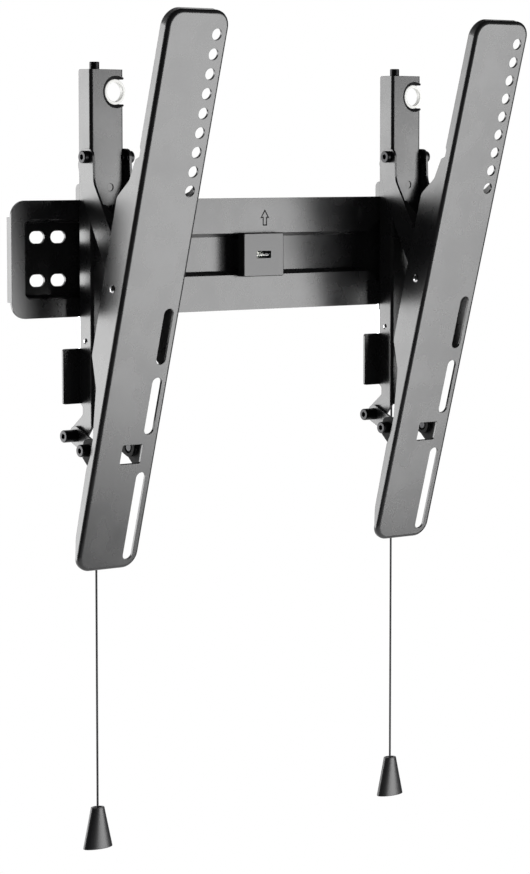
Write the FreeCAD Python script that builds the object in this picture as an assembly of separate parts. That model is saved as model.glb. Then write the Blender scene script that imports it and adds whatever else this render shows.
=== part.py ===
"""Tilting wall mount for a flat television, in millimetres.

A pressed wall plate carries two hanging brackets. Each bracket is a folded channel that hooks over the
plate's top edge, a front plate that takes the screen's screws, and a four-bar linkage between the two
that tilts the screen forward. A spring latch catches the plate's bottom edge, and a pull cord frees it.

X runs along the wall, +Y goes into the wall and Z is up. The origin is the centre of the wall plate, on
the wall. The front plates are modelled tilted forward, as the mount is shown.
"""

import FreeCAD, Part
import math
import os

Vector = FreeCAD.Vector

# Sheet and the folds in it
SHEET = 2.0

# Wall plate
PLATE_W = 478.0
PLATE_H = 89.5
PLATE_RIM_Y = -12.0
PLATE_CORNER = 12.5
PLATE_LIP = 4.0
RECESS_END_X = 228.5
RECESS_END_Z = 30.5
RECESS_BAND_Z = 16.7
RECESS_WIDE_X = 134.0
RECESS_BAND_X = 118.0
RECESS_CORNER = 9.0
RECESS_DRAFT = 3.0
WALL_SLOT_X = (208.7, 189.2)
WALL_SLOT_Z = 16.5
WALL_SLOT_LENGTH = 14.0
WALL_SLOT_WIDTH = 9.4

# Spirit level on the wall plate
LEVEL_W = 41.4
LEVEL_H = 35.0
LEVEL_FRONT_Y = -19.4
LEVEL_FOOT_H = 25.0
LEVEL_Z = -0.5
LEVEL_WINDOW_W = 14.5
LEVEL_WINDOW_H = 5.9
LEVEL_VIAL_D = 7.0
LEVEL_VIAL_L = 26.0

# Brackets: where their centres stand along the wall plate
LEFT_X = -162.0
RIGHT_X = 143.5

# Channel that hangs on the wall plate
ARM_W = 31.0
ARM_FRONT_Y = -29.7
ARM_BACK_Y = -14.0
ARM_TOP_Z = 144.0
ARM_WEB_BOTTOM_Z = -127.5
ARM_BEND = 3.0
NOTCH_X = 8.5
NOTCH_Z = 127.0
NOTCH_R = 9.7
NOTCH_RIM_R = 12.8
NOTCH_RIM_DEPTH = 5.2
DIMPLE_X = 2.5
DIMPLE_Z = 54.5
DIMPLE_D = 6.0
DIMPLE_DEPTH = 0.7
FOOT_TAB_W = 16.0
FOOT_TAB_TOP_Z = -69.0
FOOT_TAB_BOTTOM_Z = -111.5

# Ring held in the channel's notch
RING_BORE_R = 7.35
RING_T = 4.0

# Hanger inside the channel: it hooks over the wall plate and the channel is set up or down on it
HANGER_W = 25.8
HANGER_TOP_Z = 57.0
HANGER_BOTTOM_Z = 16.0
HANGER_FRONT_Y = -27.2
HOOK_BACK_Y = -5.6
HOOK_TIP_Z = 36.0
HOOK_GAP = 0.3
SCREW_X = -5.0
SCREW_Y = -20.0
SCREW_D = 5.0
SCREW_HEAD_D = 7.6
SCREW_HEAD_H = 5.6
SCREW_END_Z = 34.0

# Tilt linkage: pivots in the YZ plane
PIVOT_A = (-28.5, 77.5)
PIVOT_C = (-10.5, -136.5)
PIVOT_D = 6.0
PIVOT_GAP = 0.06
LINK_INNER_X = 16.4
BOLT_HEAD_D = 9.6
BOLT_A_END_X = 23.5
BOLT_C_END_X = 29.6
WASHER_D = 12.0
SOCKET_AF = 4.0
SOCKET_DEPTH = 3.0

# Front plate, in its own frame: depth behind its face, and height above the top row of holes
TILT = 16.0
FACE_Y = -138.6
FACE_Z = 167.3
FACE_LEFT = -25.4
FACE_RIGHT = 31.8
FACE_TOP = 17.8
FACE_BOTTOM = -426.0
FACE_CORNER = 13.0
FACE_FOLD = 3.2
HOLE_X = 21.0
HOLE_D = 9.0
HOLE_COUNT = 9
HOLE_PITCH = 15.0
FACE_SLOTS = ((-212.5, -257.5), (-268.0, -314.5), (-345.5, -418.5))
WINDOW = (-1.6, 18.0, -338.0, -322.0)
PIVOT_B_IN_FACE = (14.0, -200.0)
PIVOT_D_IN_FACE = (16.0, -330.5)
LUG_INNER_X = 20.0
LUG_FOOT_X = 18.5
D_CLEARANCE = 1.6

# Latch, its spring and its rivet
LATCH_W = 24.6
LATCH_SHEET = 1.5
LATCH_BACK_Y = -6.6
LATCH_FRONT_Y = -25.5
LATCH_NOSE_Z = -40.0
LATCH_CATCH_Z = -49.5
LATCH_BOTTOM_Z = -98.0
LATCH_TRAVEL = 8.0
RIVET_Y = -21.0
RIVET_Z = -63.0
RIVET_D = 4.0
RIVET_HEAD_D = 6.4
SPRING_D = 7.0
SPRING_WIRE = 1.1
SPRING_PITCH = 3.7
SPRING_TURNS = 8
SPRING_Y = -21.0
SPRING_TOP_Z = -66.0

# Pull cord and its handle
CORD_Y = -12.0
CORD_D = 1.7
HANDLE_TOP_Z = -430.0
HANDLE_H = 32.5
HANDLE_TOP_W = 11.5
HANDLE_BOTTOM_W = 27.0
HANDLE_TOP_T = 8.5
HANDLE_BOTTOM_T = 13.0
HANDLE_WALL = 1.6
HANDLE_DISH = 1.2
HANDLE_HEAD = 6.0


def corner_edges(points, plane):
    """Closed outline through (a, b, radius) corners, each rounded by a tangent arc; plane maps a, b."""
    starts = []
    count = len(points)
    for i, (a, b, radius) in enumerate(points):
        here = Vector(a, b, 0)
        back = Vector(*points[i - 1][:2], 0) - here
        ahead = Vector(*points[(i + 1) % count][:2], 0) - here
        back.normalize()
        ahead.normalize()
        if not radius:
            starts.append((here, None, here))
            continue
        half = back.getAngle(ahead) / 2
        reach = radius / math.tan(half)
        middle = back + ahead
        middle.normalize()
        bulge = here + middle * (radius / math.sin(half) - radius)
        starts.append((here + back * reach, bulge, here + ahead * reach))
    edges = []
    for i, (begin, bulge, end) in enumerate(starts):
        if bulge is not None:
            edges.append(Part.Arc(plane(begin), plane(bulge), plane(end)).toShape())
        following = starts[(i + 1) % count][0]
        if (following - end).Length > 1e-6:
            edges.append(Part.LineSegment(plane(end), plane(following)).toShape())
    return edges


def outline(points, plane):
    return Part.Wire(corner_edges(points, plane))


def in_yz(x):
    return lambda p: Vector(x, p.x, p.y)


def in_xz(y):
    return lambda p: Vector(p.x, y, p.y)


def slab_x(points, x0, x1):
    """Outline of (y, z, radius) corners, extruded from x0 to x1."""
    return Part.Face(outline(points, in_yz(x0))).extrude(Vector(x1 - x0, 0, 0))


def slab_y(points, y0, y1):
    """Outline of (x, z, radius) corners, extruded from y0 to y1."""
    return Part.Face(outline(points, in_xz(y0))).extrude(Vector(0, y1 - y0, 0))


def box(x0, x1, y0, y1, z0, z1):
    return Part.makeBox(x1 - x0, y1 - y0, z1 - z0, Vector(x0, y0, z0))


def rod_x(x0, x1, y, z, diameter):
    return Part.makeCylinder(diameter / 2, x1 - x0, Vector(x0, y, z), Vector(1, 0, 0))


def rectangle(a0, a1, b0, b1, radius):
    return [(a0, b0, radius), (a1, b0, radius), (a1, b1, radius), (a0, b1, radius)]


def slot_y(x, z, length, width, y0, y1, upright=False):
    """Round-ended slot through y0 to y1, centred at x, z."""
    half = length / 2 - width / 2
    step = Vector(0, 0, half) if upright else Vector(half, 0, 0)
    ends = []
    for sign in (-1, 1):
        centre = Vector(x, y0, z) + step * sign
        ends.append(Part.makeCylinder(width / 2, y1 - y0, centre, Vector(0, 1, 0)))
    if upright:
        middle = box(x - width / 2, x + width / 2, y0, y1, z - half, z + half)
    else:
        middle = box(x - half, x + half, y0, y1, z - width / 2, z + width / 2)
    return middle.fuse(ends).removeSplitter()


def mirrored(shape):
    return shape.mirror(Vector(0, 0, 0), Vector(1, 0, 0))


def both_sides(shape):
    """The shape and its mirror image across the bracket's middle plane, as one group."""
    return Part.makeCompound([shape, mirrored(shape)])


def hollow(half_x, half_z, corner, y0, y1):
    return slab_y(rectangle(-half_x, half_x, -half_z, half_z, corner), y0, y1)


def recess_outline(inset, y):
    """Dog-bone recess: deep panels at both ends, joined by a narrower band."""
    end_x = RECESS_END_X - inset
    end_z = RECESS_END_Z - inset
    band_z = RECESS_BAND_Z - inset
    wide_x = RECESS_WIDE_X + inset * 0.6
    corner = RECESS_CORNER
    ease = 5.0
    points = [
        (-end_x, -end_z, corner), (-wide_x, -end_z, ease), (-RECESS_BAND_X, -band_z, ease),
        (RECESS_BAND_X, -band_z, ease), (wide_x, -end_z, ease), (end_x, -end_z, corner),
        (end_x, end_z, corner), (wide_x, end_z, ease), (RECESS_BAND_X, band_z, ease),
        (-RECESS_BAND_X, band_z, ease), (-wide_x, end_z, ease), (-end_x, end_z, corner),
    ]
    return outline(points, in_xz(y))


def wall_plate():
    rim_back = PLATE_RIM_Y + SHEET
    half_w = PLATE_W / 2
    half_h = PLATE_H / 2
    plate = hollow(half_w, half_h, PLATE_CORNER, PLATE_RIM_Y, rim_back)
    pan = Part.makeLoft([recess_outline(-SHEET, rim_back - 0.5), recess_outline(RECESS_DRAFT - SHEET, 0)],
                        True, True)
    plate = plate.fuse(pan)
    well = Part.makeLoft([recess_outline(0, PLATE_RIM_Y), recess_outline(RECESS_DRAFT, -SHEET)], True, True)
    plate = plate.cut(well)
    # The two ends turn back towards the wall
    for sign in (-1, 1):
        outer = hollow(half_w, half_h, PLATE_CORNER, PLATE_RIM_Y, PLATE_RIM_Y + SHEET + PLATE_LIP)
        inner = hollow(half_w - SHEET, half_h - SHEET, PLATE_CORNER - SHEET, rim_back, 0)
        end = outer.cut(inner).common(box(*sorted((sign * (half_w + 1), sign * (half_w - PLATE_CORNER))),
                                          -20, 0, -half_h + PLATE_CORNER, half_h - PLATE_CORNER))
        plate = plate.fuse(end)
    slots = []
    for sign in (-1, 1):
        for x in WALL_SLOT_X:
            for z in (-WALL_SLOT_Z, WALL_SLOT_Z):
                slots.append(slot_y(sign * x, z, WALL_SLOT_LENGTH, WALL_SLOT_WIDTH, -SHEET - 1, 1))
    return plate.cut(slots).removeSplitter()


def level_housing():
    half_w = LEVEL_W / 2
    half_h = LEVEL_H / 2
    half_foot = LEVEL_FOOT_H / 2
    lid = slab_y(rectangle(-half_w, half_w, LEVEL_Z - half_h, LEVEL_Z + half_h, 1.5),
                 LEVEL_FRONT_Y, PLATE_RIM_Y - 0.2)
    lid = lid.makeFillet(1.0, [e for e in lid.Edges if e.BoundBox.YMax < LEVEL_FRONT_Y + 0.01])
    foot = box(-half_w + 2, half_w - 2, PLATE_RIM_Y - 0.5, -SHEET, -half_foot, half_foot)
    window = slab_y(rectangle(-LEVEL_WINDOW_W / 2, LEVEL_WINDOW_W / 2,
                              LEVEL_Z - LEVEL_WINDOW_H / 2, LEVEL_Z + LEVEL_WINDOW_H / 2, 1.0),
                    LEVEL_FRONT_Y - 1, LEVEL_FRONT_Y + 6)
    bed = rod_x(-LEVEL_VIAL_L / 2, LEVEL_VIAL_L / 2, LEVEL_FRONT_Y + 5.0, LEVEL_Z, LEVEL_VIAL_D)
    return lid.fuse(foot).cut([window, bed]).removeSplitter()


def level_vial():
    """Sealed tube of spirit, lying in its bed in the housing."""
    vial = rod_x(-LEVEL_VIAL_L / 2, LEVEL_VIAL_L / 2, LEVEL_FRONT_Y + 5.0, LEVEL_Z, LEVEL_VIAL_D)
    return vial


def arm_cheek():
    """Side of the channel: straight above, waisted below the foot tab, then flared out to the low pivot."""
    low_y, low_z = PIVOT_C
    return [
        (ARM_FRONT_Y, ARM_TOP_Z, 2.0), (ARM_BACK_Y, ARM_TOP_Z, 2.0), (ARM_BACK_Y, -111.5, 1.0),
        (-17.0, -114.0, 3.0), (-17.0, -120.0, 3.0), (low_y + 6.5, -130.0, 3.0), (low_y + 6.5, low_z - 6.5, 6.0),
        (low_y - 6.5, low_z - 6.5, 4.0), (ARM_FRONT_Y, ARM_WEB_BOTTOM_Z, 1.0),
    ]


def arm_channel():
    half = ARM_W / 2
    cheek = slab_x(arm_cheek(), -half, -half + SHEET)
    web = box(-half, half, ARM_FRONT_Y, ARM_FRONT_Y + SHEET, ARM_WEB_BOTTOM_Z, ARM_TOP_Z)
    roof = box(-half, half, ARM_FRONT_Y, ARM_BACK_Y - 1.0, ARM_TOP_Z - SHEET, ARM_TOP_Z)
    arm = web.fuse([cheek, mirrored(cheek), roof]).removeSplitter()
    folds = []
    for edge in arm.Edges:
        span = edge.BoundBox
        if abs(span.YMax - ARM_FRONT_Y) < 0.01 and span.XLength < 0.01 and abs(abs(span.XMin) - half) < 0.01:
            folds.append(edge)
    arm = arm.makeFillet(ARM_BEND * 0.8, folds)
    # Foot tab: the left side's back edge folded outwards
    tab = slab_y(rectangle(-half - FOOT_TAB_W, -half + SHEET, FOOT_TAB_BOTTOM_Z, FOOT_TAB_TOP_Z, 2.0),
                 ARM_BACK_Y, ARM_BACK_Y + 1.8)
    arm = arm.fuse(tab.common(box(-half - FOOT_TAB_W, -half + SHEET, -20, 0, FOOT_TAB_BOTTOM_Z, FOOT_TAB_TOP_Z)))
    arm = arm.fuse(box(-half, -half + SHEET, ARM_BACK_Y - 1, ARM_BACK_Y + 1.8, FOOT_TAB_BOTTOM_Z, FOOT_TAB_TOP_Z))
    # Notch for the ring, open to the right, with a turned-in rim
    along = Vector(0, 1, 0)
    centre = Vector(NOTCH_X, ARM_FRONT_Y, NOTCH_Z)
    rim = Part.makeCylinder(NOTCH_RIM_R, NOTCH_RIM_DEPTH, centre, along)
    arm = arm.fuse(rim.common(box(-half, half, ARM_FRONT_Y, ARM_BACK_Y, NOTCH_Z - 14, NOTCH_Z + 14)))
    throat = Part.makeCylinder(NOTCH_R, 30, centre - along * 5, along)
    dish = Part.makeCone(NOTCH_RIM_R - 0.4, NOTCH_R, 2.2, centre - along * 0.01, along)
    side = box(half - 6, half + 1, ARM_FRONT_Y + NOTCH_RIM_DEPTH, 0, NOTCH_Z - NOTCH_RIM_R, NOTCH_Z + NOTCH_RIM_R)
    mouth = box(half - 3.2, half + 1, ARM_FRONT_Y - 1, ARM_FRONT_Y + NOTCH_RIM_DEPTH + 0.1,
                NOTCH_Z - NOTCH_RIM_R + 3.4, NOTCH_Z + NOTCH_RIM_R - 3.4)
    dimple = Part.makeCylinder(DIMPLE_D / 2, DIMPLE_DEPTH, Vector(DIMPLE_X, ARM_FRONT_Y, DIMPLE_Z), along)
    screw_hole = Part.makeCylinder(SCREW_D / 2 + 0.1, 10, Vector(SCREW_X, SCREW_Y, ARM_TOP_Z - 5))
    holes = [throat, dish, side, mouth, dimple, screw_hole]
    for y, z in (PIVOT_A, PIVOT_C):
        holes.append(rod_x(-half - 1, half + 1, y, z, PIVOT_D))
    holes.append(rod_x(-half - 1, half + 1, RIVET_Y, RIVET_Z, RIVET_D))
    return arm.cut(holes).removeSplitter()


def notch_ring():
    along = Vector(0, 1, 0)
    centre = Vector(NOTCH_X, ARM_FRONT_Y + 1.4, NOTCH_Z)
    ring = Part.makeCylinder(NOTCH_R, RING_T, centre, along)
    ring = ring.cut(Part.makeCylinder(RING_BORE_R, RING_T, centre, along))
    rims = [e for e in ring.Edges if e.Length > 2 * math.pi * RING_BORE_R - 0.1]
    return ring.makeFillet(0.5, rims)


def hanger():
    """Folded U inside the channel, whose two cheeks end in hooks over the wall plate's top edge."""
    half = HANGER_W / 2
    top = PLATE_H / 2
    gap_front = PLATE_RIM_Y - HOOK_GAP
    gap_back = PLATE_RIM_Y + SHEET + HOOK_GAP
    cheek = slab_x([
        (HANGER_FRONT_Y, HANGER_BOTTOM_Z, 3.0), (HANGER_FRONT_Y, HANGER_TOP_Z, 1.0),
        (HOOK_BACK_Y, HANGER_TOP_Z, 4.5), (HOOK_BACK_Y, HOOK_TIP_Z, 1.0), (gap_back, HOOK_TIP_Z, 0.6),
        (gap_back, top + 0.1, 0.4), (gap_front, top + 0.1, 0.4), (gap_front, HANGER_BOTTOM_Z, 2.0),
    ], -half, -half + SHEET)
    web = box(-half, half, HANGER_FRONT_Y, HANGER_FRONT_Y + SHEET, HANGER_BOTTOM_Z + 3, HANGER_TOP_Z)
    roof = box(-half, half, HANGER_FRONT_Y, -15.0, HANGER_TOP_Z - SHEET, HANGER_TOP_Z)
    body = web.fuse([cheek, mirrored(cheek), roof]).removeSplitter()
    hole = Part.makeCylinder(SCREW_D / 2 + PIVOT_GAP, 10, Vector(SCREW_X, SCREW_Y, HANGER_TOP_Z - 5))
    return body.cut(hole)


def hex_socket(centre, axis, across_flats, depth):
    """Hexagonal socket, cut inwards from centre against the axis."""
    radius = across_flats / math.sqrt(3)
    corners = []
    for i in range(7):
        angle = math.radians(60 * i)
        corners.append(Vector(radius * math.cos(angle), radius * math.sin(angle), 0))
    prism = Part.Face(Part.makePolygon(corners)).extrude(Vector(0, 0, -depth))
    prism.Placement = FreeCAD.Placement(centre, FreeCAD.Rotation(Vector(0, 0, 1), axis))
    return prism


def height_screw():
    up = Vector(0, 0, 1)
    foot = Vector(SCREW_X, SCREW_Y, SCREW_END_Z)
    shank = Part.makeCylinder(SCREW_D / 2, ARM_TOP_Z + 0.3 - SCREW_END_Z, foot)
    neck = Part.makeCylinder(SCREW_HEAD_D / 2, SCREW_HEAD_H, Vector(SCREW_X, SCREW_Y, ARM_TOP_Z + 0.2))
    neck = neck.makeFillet(0.6, [e for e in neck.Edges if e.BoundBox.ZMin > ARM_TOP_Z + SCREW_HEAD_H])
    socket = hex_socket(Vector(SCREW_X, SCREW_Y, ARM_TOP_Z + SCREW_HEAD_H + 0.2), up, 3.0, 2.6)
    shank = shank.makeChamfer(0.8, [e for e in shank.Edges if e.BoundBox.ZMax < SCREW_END_Z + 0.01])
    return shank.fuse(neck).cut(socket).removeSplitter()


def pivot_pair(y, z, shaft_in, shaft_out, head_end):
    """A socket-head bolt on each side, its shaft inside and its head outside."""
    shaft = rod_x(-shaft_out, -shaft_in, y, z, PIVOT_D)
    head = rod_x(-head_end, -shaft_out, y, z, BOLT_HEAD_D)
    head = head.makeFillet(0.8, [e for e in head.Edges if e.BoundBox.XMax < -head_end + 0.01])
    socket = hex_socket(Vector(-head_end, y, z), Vector(-1, 0, 0), SOCKET_AF, SOCKET_DEPTH)
    return both_sides(shaft.fuse(head).cut(socket).removeSplitter())


def washer_pair(y, z, x0, x1, diameter, bore):
    washer = rod_x(-x1, -x0, y, z, diameter).cut(rod_x(-x1, -x0, y, z, bore))
    return both_sides(washer)


def face_to_mount(depth, height):
    """Point (y, z) of the mount for a point of the tilted front plate."""
    sine = math.sin(math.radians(TILT))
    cosine = math.cos(math.radians(TILT))
    return FACE_Y + depth * cosine - height * sine, FACE_Z + depth * sine + height * cosine


def tilted(shape):
    turned = shape.copy()
    turned.rotate(Vector(0, 0, 0), Vector(1, 0, 0), TILT)
    turned.translate(Vector(0, FACE_Y, FACE_Z))
    return turned


def tilt_arm():
    """Long folded link from the channel's top pivot to the front plate: two cheeks and a web low down."""
    top_y, top_z = PIVOT_A
    low_y, low_z = face_to_mount(*PIVOT_B_IN_FACE)
    outer = LINK_INNER_X + SHEET
    side = [
        (top_y - 7.0, top_z + 6.5, 6.0), (top_y + 7.5, top_z + 6.5, 6.0), (-16.5, 72.0, 6.0), (-23.0, 46.0, 20.0),
        (low_y + 13.0, low_z + 4.0, 10.0), (low_y + 7.0, low_z - 8.5, 6.0), (low_y - 6.5, low_z - 7.0, 6.0),
        (low_y - 6.5, low_z + 13.0, 12.0), (-36.5, 58.0, 14.0),
    ]
    cheek = slab_x(side, -outer, -LINK_INNER_X)
    # Front web across the two cheeks: its top is cut away in a V so that the link clears the channel
    front_low = Vector(0, low_y - 6.5, low_z + 13.0)
    front_high = Vector(0, -36.5, 58.0)
    run = front_high - front_low
    run.normalize()
    back = Vector(0, -run.z, run.y) * -1
    corner_low = front_low + run * 6
    corner_high = front_low + run * 58
    strip = [
        (corner_low.y, corner_low.z, 0), (corner_high.y, corner_high.z, 0),
        ((corner_high + back * SHEET).y, (corner_high + back * SHEET).z, 0),
        ((corner_low + back * SHEET).y, (corner_low + back * SHEET).z, 0),
    ]
    web = slab_x(strip, -outer, outer)
    crest = (corner_high + corner_low * 2) * (1 / 3)
    vee = slab_y([(0, crest.z - 4, 5.0), (LINK_INNER_X, corner_high.z + 6, 0), (-LINK_INNER_X, corner_high.z + 6, 0)],
                 -120, 0)
    link = cheek.fuse([mirrored(cheek), web.cut(vee)]).removeSplitter()
    holes = [rod_x(-outer - 1, outer + 1, top_y, top_z, PIVOT_D + 2 * PIVOT_GAP),
             rod_x(-outer - 1, outer + 1, low_y, low_z, PIVOT_D)]
    return link.cut(holes)


def lower_link(side):
    """Short flat link from the channel's low pivot to the lug on the front plate."""
    top_y, top_z = PIVOT_C
    end_y, end_z = face_to_mount(*PIVOT_D_IN_FACE)
    run = Vector(0, end_y - top_y, end_z - top_z)
    run.normalize()
    across = Vector(0, -run.z, run.y) * 7.2
    ends = [Vector(0, top_y, top_z) - run * 7.2, Vector(0, end_y, end_z) + run * 7.2]
    corners = []
    for centre, sign in ((ends[0], 1), (ends[1], 1), (ends[1], -1), (ends[0], -1)):
        corner = centre + across * sign
        corners.append((corner.y, corner.z, 6.4))
    link = slab_x(corners, -LINK_INNER_X - SHEET, -LINK_INNER_X)
    link = link.cut([rod_x(-30, 0, top_y, top_z, PIVOT_D + 2 * PIVOT_GAP),
                     rod_x(-30, 0, end_y, end_z, PIVOT_D + 2 * D_CLEARANCE)])
    return link if side < 0 else mirrored(link)


def face_flange():
    """Side view of the front plate, in depth and height: shallow at the ends, deep at the middle pivot."""
    return [
        (0, FACE_TOP + 1, 0), (7.0, FACE_TOP + 1, 0), (9.0, 4.0, 20.0), (9.3, -88.0, 1.5), (8.0, -90.5, 1.5),
        (8.0, -95.5, 1.5), (12.0, -98.5, 2.0), (15.5, -116.0, 8.0), (27.0, -132.0, 8.0), (27.0, -172.0, 60.0),
        (25.5, -257.0, 5.0), (14.0, -279.0, 10.0), (10.0, -304.0, 20.0), (7.5, -318.0, 8.0), (7.5, -334.0, 6.0),
        (9.5, -343.0, 8.0), (8.3, -400.0, 40.0), (5.0, FACE_BOTTOM + 13, 8.0), (5.0, FACE_BOTTOM - 1, 0),
        (0, FACE_BOTTOM - 1, 0),
    ]


def right_lip_cuts():
    """What the right flange lacks, above and below its ear for the middle pivot: there it is a low lip."""
    above = [(4.2, FACE_TOP + 2, 0), (30, FACE_TOP + 2, 0), (30, -136.0, 0), (12.0, -124.0, 5.0), (4.2, -114.0, 5.0)]
    below = [(4.2, -272.0, 5.0), (12.0, -262.0, 5.0), (30, -254.0, 0), (30, FACE_BOTTOM - 2, 0),
             (4.2, FACE_BOTTOM - 2, 0)]
    return [slab_x(lip, FACE_RIGHT - FACE_CORNER, FACE_RIGHT + 1) for lip in (above, below)]


def front_plate():
    outer = slab_y(rectangle(FACE_LEFT, FACE_RIGHT, FACE_BOTTOM, FACE_TOP, FACE_CORNER), 0, 28)
    outer = outer.makeFillet(FACE_FOLD, [e for e in outer.Edges if e.BoundBox.YMax < 0.01])
    inner = slab_y(rectangle(FACE_LEFT + SHEET, FACE_RIGHT - SHEET, FACE_BOTTOM + SHEET, FACE_TOP - SHEET,
                             FACE_CORNER - SHEET), SHEET, 30)
    inner = inner.makeFillet(FACE_FOLD - SHEET, [e for e in inner.Edges if e.BoundBox.YMax < SHEET + 0.01])
    plate = outer.cut(inner).common(slab_x(face_flange(), FACE_LEFT - 1, FACE_RIGHT + 1))
    cuts = right_lip_cuts()
    for i in range(HOLE_COUNT):
        cuts.append(Part.makeCylinder(HOLE_D / 2, 6, Vector(HOLE_X, -2, -i * HOLE_PITCH), Vector(0, 1, 0)))
    for top, bottom in FACE_SLOTS:
        cuts.append(slot_y(HOLE_X, (top + bottom) / 2, top - bottom, HOLE_D, -2, 4, upright=True))
    x0, x1, z0, z1 = WINDOW
    cuts.append(slab_y(rectangle(x0, x1, z0, z1, 1.6), -2, 4))
    depth, height = PIVOT_B_IN_FACE
    cuts.append(rod_x(FACE_LEFT - 1, FACE_RIGHT + 1, depth, height, PIVOT_D + 2 * PIVOT_GAP))
    return tilted(plate.cut(cuts).removeSplitter())


def plate_lug():
    """Two folded ears welded behind the front plate, clear of its window: they carry the lower links."""
    depth, height = PIVOT_D_IN_FACE
    outer = LUG_INNER_X + SHEET
    ear = slab_x([(SHEET, height + 13, 2.0), (depth + 7, height + 7, 6.0), (depth + 7, height - 7, 6.0),
                  (SHEET, height - 17, 2.0)], -outer, -LUG_INNER_X)
    strap = box(-outer, -LUG_FOOT_X, SHEET, 2 * SHEET, height - 15, height + 12)
    ear = ear.fuse(strap).removeSplitter()
    ear = ear.cut(rod_x(-outer - 1, 0, depth, height, PIVOT_D))
    return tilted(both_sides(ear))


def middle_rivets():
    """Rivet on each side through the front plate's flange, on the tilt arm's end."""
    y, z = face_to_mount(*PIVOT_B_IN_FACE)
    rivets = []
    for reach in (-FACE_LEFT, FACE_RIGHT):
        head = Part.makeSphere(RIVET_HEAD_D * 0.62, Vector(-reach + 1.9, y, z))
        head = head.common(rod_x(-reach - 2.0, -reach - 0.15, y, z, RIVET_HEAD_D))
        shaft = rod_x(-reach - 0.2, -LINK_INNER_X + 0.8, y, z, PIVOT_D)
        rivets.append(head.fuse(shaft).removeSplitter())
    return Part.makeCompound([rivets[0], mirrored(rivets[1])])


def middle_spacers():
    y, z = face_to_mount(*PIVOT_B_IN_FACE)
    spacers = []
    for reach in (-FACE_LEFT, FACE_RIGHT):
        x0, x1 = -reach + SHEET + 0.2, -LINK_INNER_X - SHEET
        spacers.append(rod_x(x0, x1, y, z, 10.0).cut(rod_x(x0, x1, y, z, PIVOT_D)))
    return Part.makeCompound([spacers[0], mirrored(spacers[1])])


def latch():
    """Zinc-plated U: two strips that catch behind the wall plate's bottom edge, joined where the cord ties."""
    half = LATCH_W / 2
    nose_y = PLATE_RIM_Y + SHEET + 0.5
    strip = slab_x([
        (LATCH_FRONT_Y, LATCH_BOTTOM_Z, 2.0), (LATCH_FRONT_Y, LATCH_CATCH_Z - 4.0, 3.0), (-15.0, LATCH_CATCH_Z, 2.0),
        (nose_y, LATCH_CATCH_Z, 0.5), (nose_y, LATCH_NOSE_Z, 0.8), (LATCH_BACK_Y, LATCH_NOSE_Z - 2.5, 0.8),
        (LATCH_BACK_Y, -55.0, 0.6), (-8.8, -57.5, 0.6), (-8.8, -60.5, 0.6), (LATCH_BACK_Y - 0.6, -63.0, 0.6),
        (LATCH_BACK_Y - 0.6, -72.0, 2.0), (-9.5, -76.0, 2.0), (-9.5, LATCH_BOTTOM_Z, 2.0),
    ], -half, -half + LATCH_SHEET)
    floor = box(-half, half, LATCH_FRONT_Y + 2, -9.6, LATCH_BOTTOM_Z, LATCH_BOTTOM_Z + LATCH_SHEET)
    body = floor.fuse([strip, mirrored(strip)]).removeSplitter()
    slot = slab_x([(RIVET_Y - 2.2, RIVET_Z - 2.2, 2.15), (RIVET_Y + 2.2, RIVET_Z - 2.2, 2.15),
                   (RIVET_Y + 2.2, RIVET_Z + LATCH_TRAVEL + 2.6, 2.15),
                   (RIVET_Y - 2.2, RIVET_Z + LATCH_TRAVEL + 2.6, 2.15)], -half - 1, half + 1)
    eye = Part.makeCylinder(SPRING_WIRE / 2 + 0.3, 6, Vector(0, SPRING_Y, LATCH_BOTTOM_Z - 2))
    return body.cut([slot, eye])


def latch_rivet():
    half = ARM_W / 2
    shaft = rod_x(-half - 0.1, half + 0.1, RIVET_Y, RIVET_Z, RIVET_D)
    head = Part.makeSphere(2.9, Vector(-half + 1.6, RIVET_Y, RIVET_Z))
    head = head.common(rod_x(-half - 1.5, -half, RIVET_Y, RIVET_Z, 5.0))
    return shaft.fuse([head, mirrored(head)]).removeSplitter()


def latch_spring():
    """Tension spring that pulls the latch up, from the rivet in the channel to the latch's floor."""
    height = SPRING_PITCH * SPRING_TURNS
    helix = Part.makeHelix(SPRING_PITCH, height, (SPRING_D - SPRING_WIRE) / 2)
    start = Vector((SPRING_D - SPRING_WIRE) / 2, 0, 0)
    section = Part.Wire(Part.Circle(start, Vector(0, 1, 0.18), SPRING_WIRE / 2).toShape())
    coil = Part.Wire(helix.Edges).makePipeShell([section], True, True)
    coil.translate(Vector(0, SPRING_Y, SPRING_TOP_Z - height))
    # A closed loop round the rivet above, and a leg with a crossbar through the latch's floor below
    wire = SPRING_WIRE / 2
    middle = Vector(0, SPRING_Y, 0)
    loop_r = RIVET_D / 2 + wire + 0.15
    loop = Part.makeTorus(loop_r, wire, Vector(0, RIVET_Y, RIVET_Z), Vector(1, 0, 0))
    bar_z = LATCH_BOTTOM_Z - wire - 0.15
    ends = [
        (start + middle + Vector(0, 0, SPRING_TOP_Z), middle + Vector(0, 0, RIVET_Z - loop_r)),
        (start + middle + Vector(0, 0, SPRING_TOP_Z - height), middle + Vector(0, 0, SPRING_TOP_Z - height)),
        (middle + Vector(0, 0, SPRING_TOP_Z - height + wire), middle + Vector(0, 0, bar_z)),
        (middle + Vector(-2.2, 0, bar_z), middle + Vector(2.2, 0, bar_z)),
    ]
    rods = [Part.makeCylinder(wire, (b - a).Length, a, b - a) for a, b in ends]
    return coil.fuse([loop] + rods).removeSplitter()


def cord():
    end_z = HANDLE_TOP_Z - HANDLE_DISH
    return Part.makeCylinder(CORD_D / 2, LATCH_BOTTOM_Z - end_z, Vector(0, CORD_Y, end_z))


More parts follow.
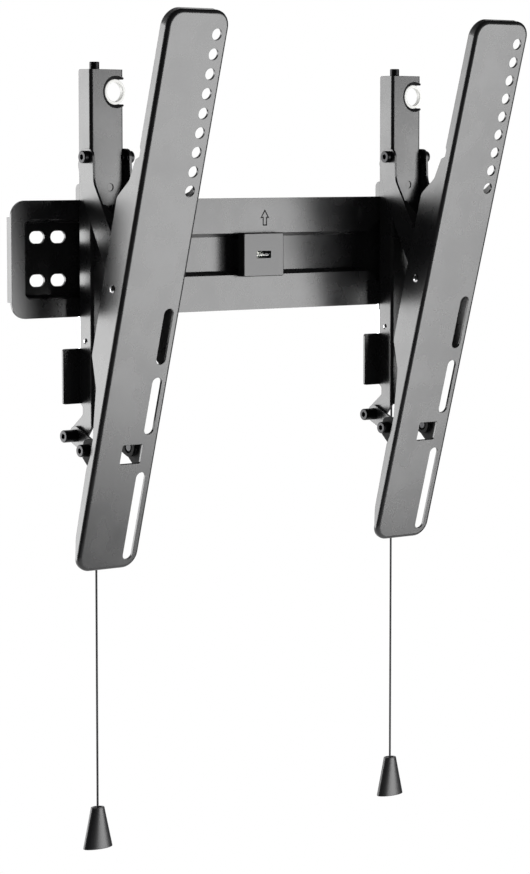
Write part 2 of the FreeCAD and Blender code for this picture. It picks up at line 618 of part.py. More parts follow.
def handle_ring(fall, inset):
    """Oval round the handle's middle, that far below its top and that far inside its wall."""
    share = fall / HANDLE_H
    half_w = (HANDLE_TOP_W + (HANDLE_BOTTOM_W - HANDLE_TOP_W) * share) / 2 - inset
    half_t = (HANDLE_TOP_T + (HANDLE_BOTTOM_T - HANDLE_TOP_T) * share) / 2 - inset
    z = HANDLE_TOP_Z - fall
    oval = Part.Ellipse(Vector(half_w, CORD_Y, z), Vector(0, CORD_Y + half_t, z), Vector(0, CORD_Y, z))
    return Part.Wire(oval.toShape())


def cord_handle():
    """Flattened cone that the hand pulls: a raised rim round the cord above, and an open foot."""
    cone = Part.makeLoft([handle_ring(0, 0), handle_ring(HANDLE_H, 0)], True, True)
    rims = [e for e in cone.Edges if e.BoundBox.ZLength < 0.01]
    cone = cone.makeFillet(HANDLE_WALL * 0.35, rims)
    dish = Part.Face(handle_ring(0, HANDLE_WALL)).extrude(Vector(0, 0, -HANDLE_DISH))
    hollow_foot = Part.makeLoft([handle_ring(HANDLE_HEAD, HANDLE_WALL), handle_ring(HANDLE_H + 1, HANDLE_WALL)],
                                True, True)
    return cone.cut([dish, hollow_foot])


def bracket_pieces(name):
    """Every piece of one bracket, about its own middle plane."""
    a_y, a_z = PIVOT_A
    c_y, c_z = PIVOT_C
    d_y, d_z = face_to_mount(*PIVOT_D_IN_FACE)
    half = ARM_W / 2
    inner = half - SHEET
    link_out = LINK_INNER_X + SHEET
    return {
        name + "_arm_channel": arm_channel(),
        name + "_notch_ring": notch_ring(),
        name + "_hanger": hanger(),
        name + "_height_screw": height_screw(),
        name + "_tilt_arm": tilt_arm(),
        name + "_outer_lower_link": lower_link(-1),
        name + "_inner_lower_link": lower_link(1),
        name + "_front_plate": front_plate(),
        name + "_plate_lug": plate_lug(),
        name + "_upper_pivot_bolts": pivot_pair(a_y, a_z, inner, link_out + 0.2, BOLT_A_END_X),
        name + "_upper_pivot_washers": washer_pair(a_y, a_z, half, LINK_INNER_X - 0.2, WASHER_D, PIVOT_D),
        name + "_middle_pivot_rivets": middle_rivets(),
        name + "_middle_pivot_spacers": middle_spacers(),
        name + "_lower_pivot_bolts": pivot_pair(c_y, c_z, inner, link_out + 0.2, BOLT_C_END_X),
        name + "_lower_pivot_washers": washer_pair(c_y, c_z, half, LINK_INNER_X - 0.2, WASHER_D, PIVOT_D),
        name + "_plate_pivot_bolts": pivot_pair(d_y, d_z, LINK_INNER_X + 0.2, LUG_INNER_X + SHEET, BOLT_C_END_X),
        name + "_latch": latch(),
        name + "_latch_rivet": latch_rivet(),
        name + "_latch_spring": latch_spring(),
        name + "_pull_cord": cord(),
        name + "_cord_handle": cord_handle(),
    }


def main():
    os.makedirs("parts", exist_ok=True)
    pieces = {
        "wall_plate": wall_plate(),
        "level_housing": level_housing(),
        "level_vial": level_vial(),
    }
    for name, x in (("left", LEFT_X), ("right", RIGHT_X)):
        for node, shape in bracket_pieces(name).items():
            placed = shape.copy()
            placed.translate(Vector(x, 0, 0))
            pieces[node] = placed
    for node, shape in pieces.items():
        if not shape.isValid():
            print("not valid:", node)
        shape.exportStep("parts/" + node + ".step")
    print(len(pieces), "pieces; pivots B and D at",
          [tuple(round(v, 2) for v in face_to_mount(*p)) for p in (PIVOT_B_IN_FACE, PIVOT_D_IN_FACE)])


main()
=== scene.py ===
"""Looks of a tilting wall mount for a flat television, in metres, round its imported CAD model."""

import math

import bmesh
import bpy
from mathutils import Matrix, Vector


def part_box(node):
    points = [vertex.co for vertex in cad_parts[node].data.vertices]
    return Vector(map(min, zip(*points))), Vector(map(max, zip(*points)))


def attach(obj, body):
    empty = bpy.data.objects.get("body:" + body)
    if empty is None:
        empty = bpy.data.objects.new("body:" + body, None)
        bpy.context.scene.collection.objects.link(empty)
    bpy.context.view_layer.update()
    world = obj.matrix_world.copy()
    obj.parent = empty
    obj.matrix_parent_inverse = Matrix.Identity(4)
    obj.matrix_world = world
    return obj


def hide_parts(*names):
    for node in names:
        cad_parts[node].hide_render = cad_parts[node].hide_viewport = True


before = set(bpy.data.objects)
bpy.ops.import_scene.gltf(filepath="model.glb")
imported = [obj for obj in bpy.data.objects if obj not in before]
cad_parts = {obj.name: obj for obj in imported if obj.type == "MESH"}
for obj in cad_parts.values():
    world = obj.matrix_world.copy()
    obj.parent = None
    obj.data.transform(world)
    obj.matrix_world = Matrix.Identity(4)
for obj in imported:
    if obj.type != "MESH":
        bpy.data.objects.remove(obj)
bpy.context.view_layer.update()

# Camera
# The mount is seen from its left and a little above, through a long lens, so that its uprights stay upright.
VIEW_YAW = 39.0
VIEW_PITCH = -5.51
VIEW_FROM = (-1.479, -1.847, 0.079)
LENS_MM = 120.4
SENSOR_MM = 36.0
camera_data = bpy.data.cameras.new("camera")
camera_data.lens = LENS_MM
camera_data.sensor_fit = "VERTICAL"
camera_data.sensor_height = SENSOR_MM
camera = bpy.data.objects.new("camera", camera_data)
bpy.context.scene.collection.objects.link(camera)
yaw, pitch = math.radians(VIEW_YAW), math.radians(VIEW_PITCH)
forward = Vector((math.sin(yaw) * math.cos(pitch), math.cos(yaw) * math.cos(pitch), math.sin(pitch)))
camera.location = VIEW_FROM
camera.rotation_euler = forward.to_track_quat("-Z", "Y").to_euler()
bpy.context.scene.camera = camera
bpy.context.scene.view_settings.view_transform = "Standard"

# Pull cords
# Thin braided polyester cord, one under each bracket. It is knotted above the latch's floor, hangs
# straight under the weight of its handle and is knotted again inside it.
BRACKETS = (("left", -0.162), ("right", 0.1435))
CORD_Y = -0.012
CORD_D = 0.0017
CORD_STRAIGHT = 0.010
LATCH_FLOOR_Z = -0.098
LATCH_SHEET = 0.0015
HANDLE_TOP_Z = -0.430
CORD_END_Z = HANDLE_TOP_Z - 0.0012
HANDLE_FLOOR_Z = HANDLE_TOP_Z - 0.006
KNOT_REST = 0.6 * CORD_D
KNOT_CORD_D = 0.92 * CORD_D
STRANDS_ROUND = 4.0
STRANDS_ALONG = 210.0


def linear(text):
    """Linear colour of an sRGB hex value."""
    channels = [int(text[i:i + 2], 16) / 255 for i in (1, 3, 5)]
    return [c / 12.92 if c <= 0.04045 else ((c + 0.055) / 1.055) ** 2.4 for c in channels] + [1.0]


def new_material(name):
    """New material and its shader."""
    material = bpy.data.materials.new(name)
    material.use_nodes = True
    return material, material.node_tree.nodes["Principled BSDF"]


def add(material, kind, settings=(), **links):
    """Adds a node. Settings are its properties and its inputs' constants, by name or number; links are the
    sockets that feed its inputs, by name, or by number as i0, i1 and so on."""
    node = material.node_tree.nodes.new("ShaderNode" + kind)
    for key, value in dict(settings).items():
        if isinstance(key, int) or key in node.inputs:
            node.inputs[key].default_value = value
        else:
            setattr(node, key, value)
    for key, socket in links.items():
        target = node.inputs[int(key[1:])] if key[0] == "i" and key[1:].isdigit() else node.inputs[key]
        material.node_tree.links.new(socket, target)
    return node


def link(material, socket, target):
    material.node_tree.links.new(socket, target)


# Braided polyester: sixteen fine strands cross on the cord, so it is matt, with a faint woven sheen
braid, shader = new_material("braided_polyester")
shader.inputs["Roughness"].default_value = 0.62
shader.inputs["Sheen Weight"].default_value = 0.25
along = add(braid, "TexCoord").outputs["UV"]
parts = add(braid, "SeparateXYZ", Vector=along)
strands = []
for turn in (STRANDS_ROUND, -STRANDS_ROUND):
    round_it = add(braid, "Math", {"operation": "MULTIPLY", 1: turn}, i0=parts.outputs["Y"])
    down_it = add(braid, "Math", {"operation": "MULTIPLY_ADD", 1: STRANDS_ALONG}, i0=parts.outputs["X"],
                  i2=round_it.outputs[0])
    wave = add(braid, "Math", {"operation": "MULTIPLY", 1: 2 * math.pi}, i0=down_it.outputs[0])
    strands.append(add(braid, "Math", {"operation": "SINE"}, i0=wave.outputs[0]).outputs[0])
woven = add(braid, "Math", {"operation": "MAXIMUM"}, i0=strands[0], i1=strands[1]).outputs[0]
shade = add(braid, "ValToRGB", i0=woven)
shade.color_ramp.elements[0].color = linear("#0c0c0d")
shade.color_ramp.elements[1].color = linear("#232325")
link(braid, shade.outputs["Color"], shader.inputs["Base Color"])
relief = add(braid, "Bump", {"Strength": 0.6, "Distance": 0.0001}, Height=woven)
link(braid, relief.outputs["Normal"], shader.inputs["Normal"])


def cord_curve(name, points, diameter):
    """Round cord along a smooth line through the reach of its points."""
    data = bpy.data.curves.new(name, "CURVE")
    data.dimensions = "3D"
    data.bevel_depth = diameter / 2
    data.bevel_resolution = 4
    data.resolution_u = 12
    data.use_fill_caps = True
    spline = data.splines.new("NURBS")
    spline.points.add(len(points) - 1)
    for point, place in zip(spline.points, points):
        point.co = (*place, 1.0)
    spline.order_u = 3
    spline.use_endpoint_u = True
    data.materials.append(braid)
    piece = bpy.data.objects.new(name, data)
    bpy.context.scene.collection.objects.link(piece)
    return piece


def knot(name, x, z, up=1.0):
    """Overhand knot of the same cord, pulled tight, whose tail stands up from it, or hangs where up is -1."""
    d = CORD_D
    # In cord diameters from the knot's foot
    steps = [(0, 0, -1.0), (0.2, 0.1, -0.2), (1.0, 0.5, 0.5), (0.4, 1.1, 1.3), (-0.9, 0.6, 1.5), (-1.1, -0.6, 0.8),
             (0.1, -1.0, 0.3), (1.1, -0.4, 0.9), (0.5, 0.5, 1.7), (-0.2, 0.1, 2.2), (-0.4, -0.1, 3.4)]
    return cord_curve(name, [(x + a * d, CORD_Y + b * d, z + c * d * up) for a, b, c in steps], KNOT_CORD_D)


for side, x in BRACKETS:
    cord = cord_curve(side + "_braided_cord", [
        (x, CORD_Y, LATCH_FLOOR_Z), (x, CORD_Y, LATCH_FLOOR_Z - CORD_STRAIGHT),
        (x, CORD_Y, CORD_END_Z + CORD_STRAIGHT), (x, CORD_Y, CORD_END_Z)], CORD_D)
    upper = knot(side + "_latch_knot", x, LATCH_FLOOR_Z + LATCH_SHEET + KNOT_REST)
    lower = knot(side + "_handle_knot", x, HANDLE_FLOOR_Z - KNOT_REST, -1.0)
    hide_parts(side + "_pull_cord")
    for piece in (cord, upper, lower):
        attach(piece, side + "_latch")

# Room and light
# A pale floor far below, a white room, two tall softboxes that the flat steel mirrors towards the camera,
# and a dark tent round the camera's side that the folds mirror, which draws them black.
FLOOR_R = 2.0
FLOOR_Z = -1.3
STUDIO_CENTRE = Vector((0, -0.05, -0.1))
TENT_R = 1.9
TENT_OPEN_Y = 0.9


def mesh_piece(build, name, material):
    """Object of a finished bmesh, in one material."""
    data = bpy.data.meshes.new(name)
    build.to_mesh(data)
    build.free()
    data.materials.append(material)
    piece = bpy.data.objects.new(name, data)
    bpy.context.scene.collection.objects.link(piece)
    return piece


# Pale painted floor: nearly white to the eye, still darker where the mount shades it
paint, shader = new_material("floor_paint")
shader.inputs["Base Color"].default_value = linear("#f2f2f2")
shader.inputs["Roughness"].default_value = 0.9
seen = add(paint, "LightPath")
either = add(paint, "Math", {"operation": "MAXIMUM"}, i0=seen.outputs["Is Camera Ray"],
             i1=seen.outputs["Is Glossy Ray"])
share = add(paint, "Math", {"operation": "MULTIPLY", 1: 0.8}, i0=either.outputs[0])
glow = add(paint, "Emission", {"Color": (1, 1, 1, 1), "Strength": 1.0})
mixed = add(paint, "MixShader", Fac=share.outputs[0], i1=shader.outputs[0], i2=glow.outputs[0])
link(paint, mixed.outputs[0], paint.node_tree.nodes["Material Output"].inputs["Surface"])
build = bmesh.new()
bmesh.ops.create_circle(build, cap_ends=True, segments=96, radius=FLOOR_R)
bmesh.ops.translate(build, verts=build.verts, vec=(0, 0, FLOOR_Z))
mesh_piece(build, "floor", paint)

# White room: full white where it is seen, mirrored or seen through, and dim where it only lights
world = bpy.data.worlds.new("white_room")
world.use_nodes = True
bpy.context.scene.world = world
sky = world.node_tree.nodes["Background"]
seen = add(world, "LightPath")
either = add(world, "Math", {"operation": "MAXIMUM"}, i0=seen.outputs["Is Camera Ray"],
             i1=seen.outputs["Is Glossy Ray"])
either = add(world, "Math", {"operation": "MAXIMUM"}, i0=either.outputs[0],
             i1=seen.outputs["Is Transmission Ray"])
level = add(world, "MapRange", {"To Min": 0.3, "To Max": 1.0}, Value=either.outputs[0])
sky.inputs["Color"].default_value = (1, 1, 1, 1)
link(world, level.outputs["Result"], sky.inputs["Strength"])

# Softboxes: where each stands from the mount, how far, its size in metres and its radiance
for name, towards, distance, width, height, radiance in (
        ("key_softbox", (0.53, -0.77, -0.20), 1.5, 1.1, 1.25, 7.8),
        ("side_softbox", (-0.63, 0.777, -0.09), 1.5, 0.75, 1.2, 7.0)):
    lamp = bpy.data.lights.new(name, "AREA")
    lamp.shape = "RECTANGLE"
    lamp.size = width
    lamp.size_y = height
    lamp.energy = radiance * math.pi * width * height
    box = bpy.data.objects.new(name, lamp)
    box.location = STUDIO_CENTRE + Vector(towards).normalized() * distance
    box.rotation_euler = (-Vector(towards)).to_track_quat("-Z", "Y").to_euler()
    box.visible_camera = False
    bpy.context.scene.collection.objects.link(box)

# Tent of black duvetyn cloth, seen in the steel only: it gives nothing back
duvetyn, shader = new_material("black_duvetyn")
shader.inputs["Base Color"].default_value = linear("#0a0a0a")
shader.inputs["Roughness"].default_value = 1.0
build = bmesh.new()
bmesh.ops.create_uvsphere(build, u_segments=48, v_segments=24, radius=TENT_R)
bmesh.ops.translate(build, verts=build.verts, vec=STUDIO_CENTRE)
behind = [f for f in build.faces if f.calc_center_median().y > TENT_OPEN_Y]
bmesh.ops.delete(build, geom=behind, context="FACES")
tent = mesh_piece(build, "tent", duvetyn)
for ray in ("camera", "diffuse", "transmission", "volume_scatter", "shadow"):
    setattr(tent, "visible_" + ray, False)

# Wall plate
# One pressing of 2 mm steel with a dog-bone recess and eight slots for the wall screws. Its rim stands
# 12 mm off the wall, and the brackets hook over it. An arrow that says which way is up is stamped in.
def dress(material, *names):
    """Gives CAD nodes a material in place of their plain one."""
    for name in names:
        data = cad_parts[name].data
        data.materials.clear()
        data.materials.append(material)


# Satin black powder coat: baked polyester, fused to a fine orange peel, a little rougher in places
powder_coat, shader = new_material("satin_powder_coat")
shader.inputs["IOR"].default_value = 1.56
place = add(powder_coat, "TexCoord").outputs["Object"]
# Cloudy drift of the film's thickness, some 25 mm across
cloud = add(powder_coat, "TexNoise", {"Scale": 40.0, "Detail": 3.0, "Roughness": 0.55}, Vector=place)
tone = add(powder_coat, "ValToRGB", i0=cloud.outputs["Fac"])
tone.color_ramp.elements[0].position = 0.35
tone.color_ramp.elements[0].color = linear("#19191a")
tone.color_ramp.elements[1].position = 0.65
tone.color_ramp.elements[1].color = linear("#1e1e1f")
link(powder_coat, tone.outputs["Color"], shader.inputs["Base Color"])
rough = add(powder_coat, "MapRange", {"From Min": 0.3, "From Max": 0.7, "To Min": 0.25, "To Max": 0.30},
            Value=cloud.outputs["Fac"])
link(powder_coat, rough.outputs["Result"], shader.inputs["Roughness"])
# Orange peel: real humps are about 1 mm apart, drawn at 2.5 mm so that they can show
peel = add(powder_coat, "TexNoise", {"Scale": 400.0, "Detail": 1.0}, Vector=place)
worn = add(powder_coat, "Bevel", {"samples": 4, "Radius": 0.0004})
relief = add(powder_coat, "Bump", {"Strength": 0.08, "Distance": 0.00003}, Height=peel.outputs["Fac"],
             Normal=worn.outputs["Normal"])
link(powder_coat, relief.outputs["Normal"], shader.inputs["Normal"])
dress(powder_coat, "wall_plate")

ARROW_X = 0.0068
ARROW_Z = 0.0290
ARROW_W = 0.0092
ARROW_H = 0.0132
ARROW_LINE = 0.0010
ARROW_PROUD = 0.00005
ARROW_T = 0.00008
RIM_Y = -0.012
# Painted shade: a dull dark material that stands in for the shadow in the stamped arrow's groove and on the notch's
# rim
shade_matt, shader = new_material("painted_shade_line")
shader.inputs["Roughness"].default_value = 0.85
shader.inputs["Specular IOR Level"].default_value = 0.1
grit = add(shade_matt, "TexNoise", {"Scale": 2500.0}, Vector=add(shade_matt, "TexCoord").outputs["Object"])
tone = add(shade_matt, "ValToRGB", i0=grit.outputs["Fac"])
tone.color_ramp.elements[0].color = linear("#101011")
tone.color_ramp.elements[1].color = linear("#262627")
link(shade_matt, tone.outputs["Color"], shader.inputs["Base Color"])
# The arrow is a thin dark sheet just proud of the rim: painted shade for its stamped groove
build = bmesh.new()
corners = [(-0.5, -0.04), (-0.24, -0.04), (-0.24, -0.5), (0.24, -0.5), (0.24, -0.04), (0.5, -0.04), (0, 0.5)]
verts = [build.verts.new((ARROW_X + a * ARROW_W, RIM_Y - ARROW_PROUD, ARROW_Z + b * ARROW_H)) for a, b in corners]
face = build.faces.new(verts)
face.normal_update()
bmesh.ops.inset_individual(build, faces=[face], thickness=ARROW_LINE, use_even_offset=True)
bmesh.ops.delete(build, geom=[face], context="FACES")
bmesh.ops.solidify(build, geom=build.faces[:], thickness=ARROW_T)
bmesh.ops.recalc_face_normals(build, faces=build.faces)
arrow = mesh_piece(build, "up_arrow", shade_matt)
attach(arrow, "wall")

# Spirit level
# A small moulded box clipped on the middle of the plate, with a window over a clear vial of spirit.
# The bubble stands between two bands when the plate is level.

# Moulded ABS, spark-eroded to a fine grain
abs_plastic, shader = new_material("moulded_abs")
shader.inputs["IOR"].default_value = 1.53
shader.inputs["Roughness"].default_value = 0.33
place = add(abs_plastic, "TexCoord").outputs["Object"]
grain = add(abs_plastic, "TexNoise", {"Scale": 1600.0, "Detail": 2.0}, Vector=place)
tone = add(abs_plastic, "ValToRGB", i0=grain.outputs["Fac"])
tone.color_ramp.elements[0].color = linear("#171718")
tone.color_ramp.elements[1].color = linear("#1f1f20")
link(abs_plastic, tone.outputs["Color"], shader.inputs["Base Color"])
worn = add(abs_plastic, "Bevel", {"samples": 4, "Radius": 0.0003})
relief = add(abs_plastic, "Bump", {"Strength": 0.2, "Distance": 0.00003}, Height=grain.outputs["Fac"],
             Normal=worn.outputs["Normal"])
link(abs_plastic, relief.outputs["Normal"], shader.inputs["Normal"])
dress(abs_plastic, "level_housing")

# Clear acrylic tube filled with faintly green spirit
spirit, shader = new_material("spirit_in_acrylic")
shader.inputs["Transmission Weight"].default_value = 1.0
shader.inputs["IOR"].default_value = 1.49
shader.inputs["Roughness"].default_value = 0.03
drift = add(spirit, "TexNoise", {"Scale": 300.0}, Vector=add(spirit, "TexCoord").outputs["Object"])
tone = add(spirit, "ValToRGB", i0=drift.outputs["Fac"])
tone.color_ramp.elements[0].color = linear("#eef1e6")
tone.color_ramp.elements[1].color = linear("#f6f8f1")
link(spirit, tone.outputs["Color"], shader.inputs["Base Color"])
dress(spirit, "level_vial")

VIAL_R = 0.0035
low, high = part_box("level_vial")
VIAL = (Vector(low) + Vector(high)) / 2
BAND_GAP = 0.0075
BAND_W = 0.0006
BAND_PROUD = 0.00004
BAND_T = 0.00003
BUBBLE = (0.0066, 0.0026, 0.0022)
BUBBLE_DROP = 0.0006


def new_verts(grown):
    """Vertices that an extrusion made."""
    return [v for v in grown["geom"] if isinstance(v, bmesh.types.BMVert)]


# Marks printed round the vial: two thin dark bands
build = bmesh.new()
for way in (-1, 1):
    band = bmesh.ops.create_circle(build, cap_ends=False, segments=48, radius=VIAL_R + BAND_PROUD)
    start = VIAL + Vector((way * BAND_GAP / 2 - BAND_W / 2, 0, 0))
    turned = Matrix.Translation(start) @ Matrix.Rotation(math.pi / 2, 4, "Y")
    bmesh.ops.transform(build, matrix=turned, verts=band["verts"])
    grown = bmesh.ops.extrude_edge_only(build, edges=list({e for v in band["verts"] for e in v.link_edges}))
    bmesh.ops.translate(build, verts=new_verts(grown), vec=(BAND_W, 0, 0))
bmesh.ops.recalc_face_normals(build, faces=build.faces)
bmesh.ops.solidify(build, geom=build.faces[:], thickness=BAND_T)
bmesh.ops.recalc_face_normals(build, faces=build.faces)
marks = mesh_piece(build, "vial_marks", abs_plastic)
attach(marks, "wall")

# Bubble of air under the top of the spirit: light bends the other way into it
air, shader = new_material("air_in_spirit")
shader.inputs["Transmission Weight"].default_value = 1.0
shader.inputs["IOR"].default_value = 0.74
shader.inputs["Roughness"].default_value = 0.0
build = bmesh.new()
bmesh.ops.create_uvsphere(build, u_segments=32, v_segments=16, radius=0.5)
bmesh.ops.scale(build, verts=build.verts, vec=BUBBLE)
bmesh.ops.translate(build, verts=build.verts, vec=VIAL + Vector((0, 0, VIAL_R - BUBBLE_DROP - BUBBLE[2] / 2)))
for face in build.faces:
    face.smooth = True
bubble = mesh_piece(build, "vial_bubble", air)
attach(bubble, "wall")

# Brackets
# Two channels folded from 2 mm steel. Inside each, a folded hanger hooks over the wall plate, and a screw
# through the channel's roof sets its height. Both are powder coated like the plate.
SIDES = ("left", "right")
for side in SIDES:
    dress(powder_coat, side + "_hanger")

# The channel's web and folds run on past the upper pivot, where the solid has its shaft's bore: a copy of the
# channel joined with a short folded strip stands for it
CHANNEL_W = 0.031
CHANNEL_Y = -0.0297
CHANNEL_FOLD_R = 0.0024
SHEET = 0.002
PIVOT_Z = 0.0775
STRIP_H = 0.0066
STRIP_D = 0.0062
# The notch's turned-in rim gets the dull dark material: painted shade for the black band where the rim lies in
# shadow
NOTCH_X = 0.0085
NOTCH_Z = 0.127
NOTCH_RIM = (0.0096, 0.0126)
NOTCH_DEPTH = 0.0060
# A face whose normal is nearer than this to the web's is not on the rim
FACING = 0.97
for side, x in BRACKETS:
    build = bmesh.new()
    half = CHANNEL_W / 2
    corners = [(-half, CHANNEL_Y + STRIP_D), (-half, CHANNEL_Y), (half, CHANNEL_Y), (half, CHANNEL_Y + STRIP_D)]
    verts = [build.verts.new((x + a, b, PIVOT_Z - STRIP_H / 2)) for a, b in corners]
    edges = [build.edges.new(verts[i:i + 2]) for i in range(3)]
    grown = bmesh.ops.extrude_edge_only(build, edges=edges)
    bmesh.ops.translate(build, verts=new_verts(grown), vec=(0, 0, STRIP_H))
    folds = [e for e in build.edges if len(e.link_faces) == 2]
    bmesh.ops.bevel(build, geom=folds, offset=CHANNEL_FOLD_R, segments=10, profile=0.5, affect="EDGES", material=-1)
    bmesh.ops.recalc_face_normals(build, faces=build.faces)
    web = max(build.faces, key=lambda f: f.calc_area())
    if web.normal.y > 0:
        bmesh.ops.reverse_faces(build, faces=build.faces)
    bmesh.ops.solidify(build, geom=build.faces[:], thickness=SHEET)
    bmesh.ops.recalc_face_normals(build, faces=build.faces)
    strip = mesh_piece(build, side + "_web_strip", powder_coat)
    build = bmesh.new()
    build.from_mesh(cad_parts[side + "_arm_channel"].data)
    bmesh.ops.remove_doubles(build, verts=build.verts, dist=1e-6)
    channel = mesh_piece(build, side + "_channel_whole", powder_coat)
    join = channel.modifiers.new("strip", "BOOLEAN")
    join.operation = "UNION"
    join.solver = "EXACT"
    join.object = strip
    joined = bpy.data.meshes.new_from_object(channel.evaluated_get(bpy.context.evaluated_depsgraph_get()))
    channel.modifiers.clear()
    channel.data = joined
    bpy.data.objects.remove(strip)
    joined.materials.clear()
    for material in (powder_coat, shade_matt):
        joined.materials.append(material)
    joined.polygons.foreach_set("use_smooth", [False] * len(joined.polygons))
    for polygon in joined.polygons:
        spot = polygon.center
        reach = math.hypot(spot.x - x - NOTCH_X, spot.z - NOTCH_Z)
        on_rim = NOTCH_RIM[0] < reach < NOTCH_RIM[1] and spot.y < CHANNEL_Y + NOTCH_DEPTH
        # Faces on the rim take the second slot, which is painted shade
        if on_rim and abs(polygon.normal.y) < FACING:
            polygon.material_index = 1
    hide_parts(side + "_arm_channel")
    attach(channel, side + "_channel")

# Notch rings
# White nylon ring pressed into the notch at each channel's top, smooth and a little waxy.
nylon, shader = new_material("white_nylon")
shader.inputs["Roughness"].default_value = 0.4
shader.inputs["Subsurface Weight"].default_value = 0.1
shader.inputs["Subsurface Radius"].default_value = (0.002, 0.002, 0.002)
place = add(nylon, "TexCoord").outputs["Object"]
mould = add(nylon, "TexNoise", {"Scale": 500.0, "Detail": 2.0}, Vector=place)
tone = add(nylon, "ValToRGB", i0=mould.outputs["Fac"])
tone.color_ramp.elements[0].color = linear("#dededb")
tone.color_ramp.elements[1].color = linear("#e8e8e5")
link(nylon, tone.outputs["Color"], shader.inputs["Base Color"])
for side in SIDES:
    dress(nylon, side + "_notch_ring")

# Height screws
# Socket screw of blackened steel in the roof of each channel; its M5 thread shows inside the channel.

# Black oxide on turned steel: a thin dark film that keeps a metal's shine
black_oxide, shader = new_material("black_oxide_steel")
shader.inputs["Metallic"].default_value = 0.75
place = add(black_oxide, "TexCoord").outputs["Object"]
film = add(black_oxide, "TexNoise", {"Scale": 700.0, "Detail": 3.0}, Vector=place)
tone = add(black_oxide, "ValToRGB", i0=film.outputs["Fac"])
tone.color_ramp.elements[0].color = linear("#161617")
tone.color_ramp.elements[1].color = linear("#2a2a2c")
link(black_oxide, tone.outputs["Color"], shader.inputs["Base Color"])
rough = add(black_oxide, "MapRange", {"To Min": 0.25, "To Max": 0.42}, Value=film.outputs["Fac"])
link(black_oxide, rough.outputs["Result"], shader.inputs["Roughness"])
worn = add(black_oxide, "Bevel", {"samples": 4, "Radius": 0.0003})
link(black_oxide, worn.outputs["Normal"], shader.inputs["Normal"])
SCREW_X = -0.005
SCREW_Y = -0.020
SCREW_R = 0.0025
THREAD_PITCH = 0.0008
THREAD_FROM_Z = 0.0348
THREAD_TO_Z = 0.138
THREAD_STEPS = 14
THREAD_PROFILE = ((-0.0001, -0.00034), (0.00012, 0.0), (-0.0001, 0.00034))
for side, x in BRACKETS:
    dress(black_oxide, side + "_height_screw")
    build = bmesh.new()
    crest = [build.verts.new((x + SCREW_X + SCREW_R + a, SCREW_Y, THREAD_FROM_Z + b)) for a, b in THREAD_PROFILE]
    ridge = build.faces.new(crest)
    turns = round((THREAD_TO_Z - THREAD_FROM_Z) / THREAD_PITCH)
    bmesh.ops.spin(build, geom=[ridge, *ridge.edges, *ridge.verts], cent=(x + SCREW_X, SCREW_Y, 0), axis=(0, 0, 1),
                   angle=turns * 2 * math.pi, steps=turns * THREAD_STEPS, dvec=(0, 0, THREAD_PITCH / THREAD_STEPS))
    bmesh.ops.recalc_face_normals(build, faces=build.faces)
    thread = mesh_piece(build, side + "_screw_thread", black_oxide)
    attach(thread, side + "_screw")

# Tilt linkage
# Folded links between channel and front plate, on socket bolts with washers above and below and
# rivets in the middle. The outer ones are powder coated; rivets and spacers are left bright.

# Bright drawn steel: upset cold, so it mirrors softly
bright_steel, shader = new_material("bright_steel")
shader.inputs["Metallic"].default_value = 1.0
place = add(bright_steel, "TexCoord").outputs["Object"]
draw = add(bright_steel, "TexNoise", {"Scale": 900.0, "Detail": 3.0}, Vector=place)
tone = add(bright_steel, "ValToRGB", i0=draw.outputs["Fac"])
tone.color_ramp.elements[0].color = linear("#c8c8ca")
tone.color_ramp.elements[1].color = linear("#e2e2e3")
link(bright_steel, tone.outputs["Color"], shader.inputs["Base Color"])
rough = add(bright_steel, "MapRange", {"To Min": 0.16, "To Max": 0.3}, Value=draw.outputs["Fac"])
link(bright_steel, rough.outputs["Result"], shader.inputs["Roughness"])

# Dull coat on the small links behind the plates: rougher than the powder, and darker in colour, which is painted
# shade for the plates' shadow
dull_shaded_coat, shader = new_material("dull_coat_with_painted_shade")
shader.inputs["IOR"].default_value = 1.40
place = add(dull_shaded_coat, "TexCoord").outputs["Object"]
film = add(dull_shaded_coat, "TexNoise", {"Scale": 500.0, "Detail": 2.0}, Vector=place)
tone = add(dull_shaded_coat, "ValToRGB", i0=film.outputs["Fac"])
tone.color_ramp.elements[0].color = linear("#131314")
tone.color_ramp.elements[1].color = linear("#1b1b1c")
link(dull_shaded_coat, tone.outputs["Color"], shader.inputs["Base Color"])
rough = add(dull_shaded_coat, "MapRange", {"To Min": 0.75, "To Max": 0.85}, Value=film.outputs["Fac"])
link(dull_shaded_coat, rough.outputs["Result"], shader.inputs["Roughness"])
for side in SIDES:
    dress(powder_coat, side + "_tilt_arm", side + "_outer_lower_link")
    # The inner links get the dull coat, whose darker colour is painted shade behind the plates
    dress(dull_shaded_coat, side + "_inner_lower_link")
    dress(black_oxide, side + "_upper_pivot_bolts", side + "_upper_pivot_washers", side + "_lower_pivot_bolts",
          side + "_lower_pivot_washers", side + "_plate_pivot_bolts")
    dress(bright_steel, side + "_middle_pivot_rivets", side + "_middle_pivot_spacers")

# Front plates
# The long folded plates that the screen is screwed to, with nine holes, three slots and a window, and
# two ears behind them for the lower links. The plates are powder coated; the ears get the dull coat, whose darker
# colour is painted shade.
for side in SIDES:
    dress(powder_coat, side + "_front_plate")
    dress(dull_shaded_coat, side + "_plate_lug")

# Latches
# A zinc-plated steel U catches the wall plate's bottom edge, held up by a spring round a rivet.

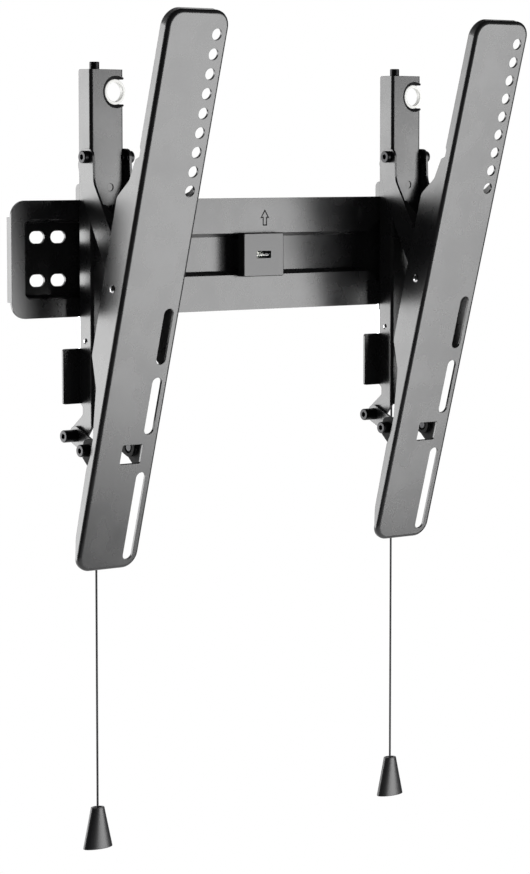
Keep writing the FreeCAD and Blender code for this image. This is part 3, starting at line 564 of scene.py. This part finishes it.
# Zinc plate, clear passivated: pale grey, faintly mottled
zinc, shader = new_material("zinc_plate")
shader.inputs["Metallic"].default_value = 1.0
place = add(zinc, "TexCoord").outputs["Object"]
spangle = add(zinc, "TexNoise", {"Scale": 260.0, "Detail": 4.0, "Roughness": 0.65}, Vector=place)
tone = add(zinc, "ValToRGB", i0=spangle.outputs["Fac"])
tone.color_ramp.elements[0].color = linear("#b4b7bb")
tone.color_ramp.elements[1].color = linear("#d6d8da")
link(zinc, tone.outputs["Color"], shader.inputs["Base Color"])
rough = add(zinc, "MapRange", {"To Min": 0.24, "To Max": 0.42}, Value=spangle.outputs["Fac"])
link(zinc, rough.outputs["Result"], shader.inputs["Roughness"])
worn = add(zinc, "Bevel", {"samples": 4, "Radius": 0.0002})
link(zinc, worn.outputs["Normal"], shader.inputs["Normal"])

# Hard-drawn spring wire: darker than the zinc, with fine drawing lines
spring_wire, shader = new_material("spring_wire")
shader.inputs["Metallic"].default_value = 1.0
place = add(spring_wire, "TexCoord").outputs["Object"]
draw = add(spring_wire, "TexNoise", {"Scale": 1500.0, "Detail": 2.0}, Vector=place)
tone = add(spring_wire, "ValToRGB", i0=draw.outputs["Fac"])
tone.color_ramp.elements[0].color = linear("#7c7c7e")
tone.color_ramp.elements[1].color = linear("#a5a5a7")
link(spring_wire, tone.outputs["Color"], shader.inputs["Base Color"])
rough = add(spring_wire, "MapRange", {"To Min": 0.22, "To Max": 0.36}, Value=draw.outputs["Fac"])
link(spring_wire, rough.outputs["Result"], shader.inputs["Roughness"])
for side in SIDES:
    dress(zinc, side + "_latch")
    dress(bright_steel, side + "_latch_rivet")
    dress(spring_wire, side + "_latch_spring")

# Cord handles
# Flattened moulded cone on each cord, with a raised rim at the top and an open foot.

# Moulded polypropylene: waxier and a touch lighter than the steel's coat
polypropylene, shader = new_material("moulded_polypropylene")
shader.inputs["IOR"].default_value = 1.49
shader.inputs["Roughness"].default_value = 0.36
place = add(polypropylene, "TexCoord").outputs["Object"]
grain = add(polypropylene, "TexNoise", {"Scale": 1400.0, "Detail": 2.0}, Vector=place)
tone = add(polypropylene, "ValToRGB", i0=grain.outputs["Fac"])
tone.color_ramp.elements[0].color = linear("#1a1a1b")
tone.color_ramp.elements[1].color = linear("#242425")
link(polypropylene, tone.outputs["Color"], shader.inputs["Base Color"])
worn = add(polypropylene, "Bevel", {"samples": 4, "Radius": 0.0003})
relief = add(polypropylene, "Bump", {"Strength": 0.2, "Distance": 0.00003}, Height=grain.outputs["Fac"],
             Normal=worn.outputs["Normal"])
link(polypropylene, relief.outputs["Normal"], shader.inputs["Normal"])
for side in SIDES:
    dress(polypropylene, side + "_cord_handle")
